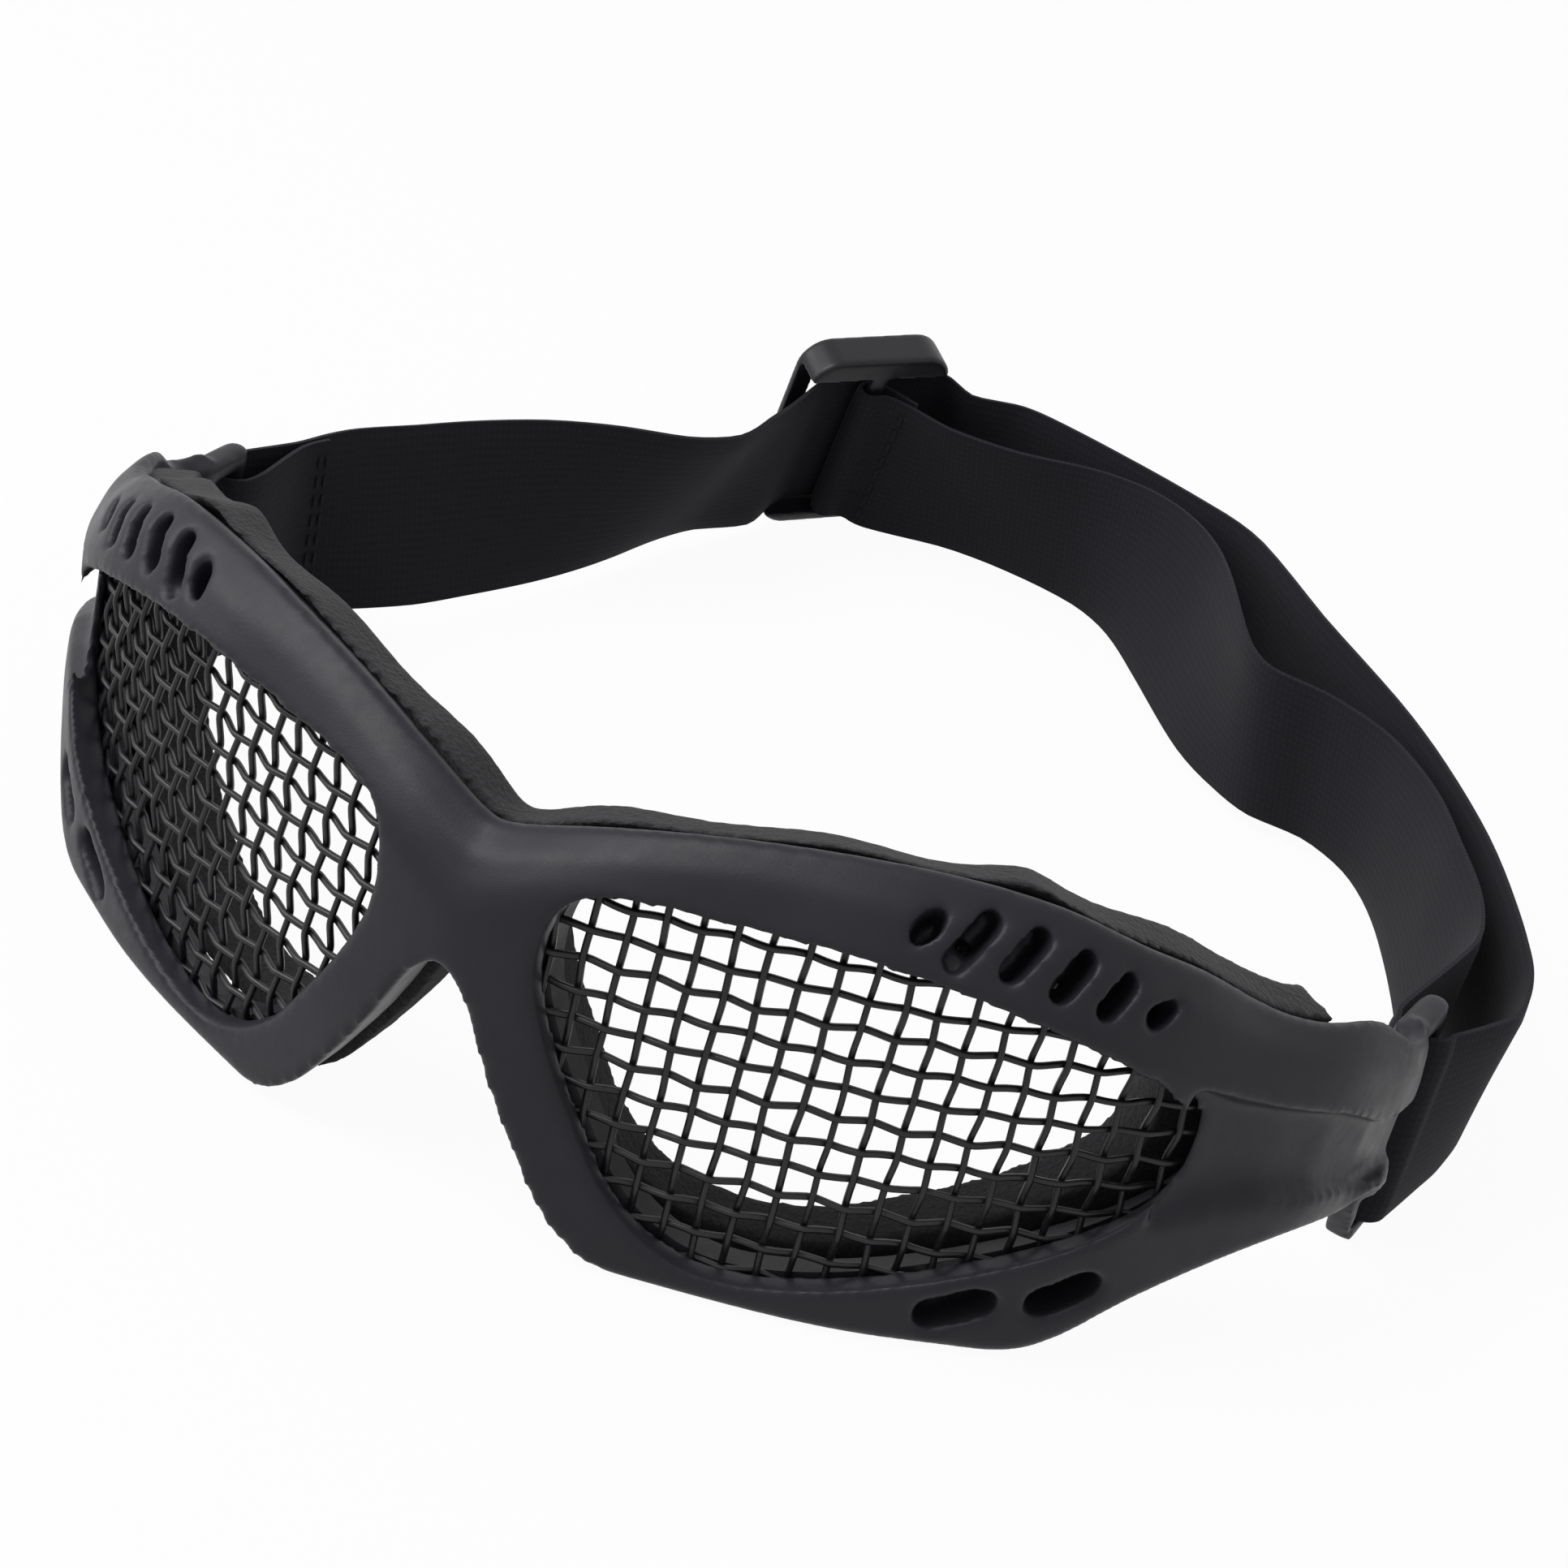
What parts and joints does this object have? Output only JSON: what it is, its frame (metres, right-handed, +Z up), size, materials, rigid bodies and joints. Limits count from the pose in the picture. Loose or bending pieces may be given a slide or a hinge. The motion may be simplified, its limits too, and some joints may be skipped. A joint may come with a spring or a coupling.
{
  "type": "mesh safety goggles",
  "caption": "Wraparound safety goggles with woven wire mesh screens, foam face seal, brow vents and an adjustable elastic webbing head strap.",
  "frame": {"origin": "below the middle of the whole object's bounding box, in the plane that the goggles stand on", "axes": "+X to the wearer's left, +Y from the frame back around the head, +Z up"},
  "size_m": [0.1834, 0.2117, 0.0559],
  "materials": {
    "frame_plastic": "satin",
    "ring_plastic": "matt",
    "mesh_wire": "satin",
    "foam": "matt",
    "webbing": "woven",
    "slider_plastic": "satin",
    "thread": "matt"
  },
  "bodies": {
    "frame": {"front_frame": "frame_plastic", "mesh_screen_left": "mesh_wire", "mesh_screen_right": "mesh_wire", "screen_ring_left": "ring_plastic", "screen_ring_right": "ring_plastic", "face_foam": "foam"},
    "strap": {"strap_main": "webbing", "strap_return": "webbing", "bar_stitching": "thread"},
    "slider": {"slider_buckle": "slider_plastic", "slider_stitching": "thread"}
  },
  "joints": [
    {"name": "strap_swing", "type": "hinge", "parent": "frame", "child": "strap", "pos_m": [-0.0025, -0.02469, 0.0157], "axis": [1, 0, 0], "range_deg": [-4, 4]},
    {"name": "slider_adjust", "type": "slide", "parent": "strap", "child": "slider", "axis": [0.5859, 0.8064, 0.0802], "range_m": [-0.002, 0.002], "deforming": ["strap_return"]}
  ]
}
